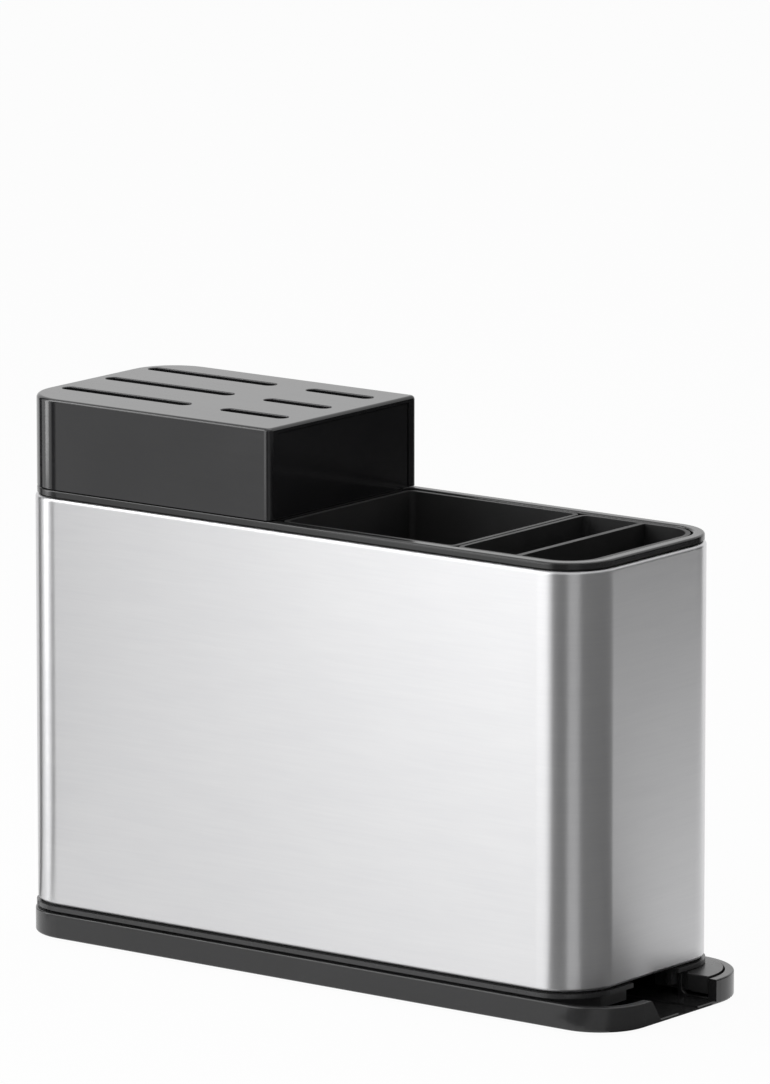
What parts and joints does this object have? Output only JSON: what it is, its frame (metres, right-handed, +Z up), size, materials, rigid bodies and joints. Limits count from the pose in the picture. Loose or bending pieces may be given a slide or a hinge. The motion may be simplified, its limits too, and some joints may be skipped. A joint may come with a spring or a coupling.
{
  "type": "cutlery drainer",
  "caption": "Worktop cutlery drainer: a brushed steel sleeve in a drip tray with an outlet, a slotted knife block over its left half and lift-out cups in its right half",
  "frame": {"origin": "On the worktop, under the middle of the drip tray", "axes": "+X runs along the drainer from the knife block to the tray's outlet, +Y from front to back, +Z up"},
  "size_m": [0.2754, 0.0924, 0.2041],
  "materials": {
    "black_satin": "satin",
    "black_gloss": "glossy",
    "black_matt": "matt",
    "steel": "brushed along the length",
    "foot_rubber": "matt",
    "screw_steel": "plain"
  },
  "bodies": {
    "tray": {"drip_tray": "black_satin", "tray_feet": "foot_rubber"},
    "housing": {"bottom_collar": "black_satin", "drain_grid": "black_matt", "steel_sleeve": "steel", "top_frame": "black_satin"},
    "knife_block": {"knife_block_hood": "black_gloss", "block_side_panel": "black_gloss", "blade_guide": "black_matt", "blade_partitions": "black_matt", "block_screws": "screw_steel"},
    "left_cup": {"chopstick_cup": "black_matt"},
    "right_cup": {"cutlery_cup": "black_matt"}
  },
  "joints": [
    {"name": "housing_lift", "type": "slide", "parent": "tray", "child": "housing", "axis": [0, 0, 1], "range_m": [0, 0.03]},
    {"name": "knife_block_lift", "type": "slide", "parent": "housing", "child": "knife_block", "axis": [0, 0, 1], "range_m": [0, 0.16]},
    {"name": "chopstick_cup_lift", "type": "slide", "parent": "housing", "child": "left_cup", "axis": [0, 0, 1], "range_m": [0, 0.155]},
    {"name": "cutlery_cup_lift", "type": "slide", "parent": "housing", "child": "right_cup", "axis": [0, 0, 1], "range_m": [0, 0.155]}
  ]
}
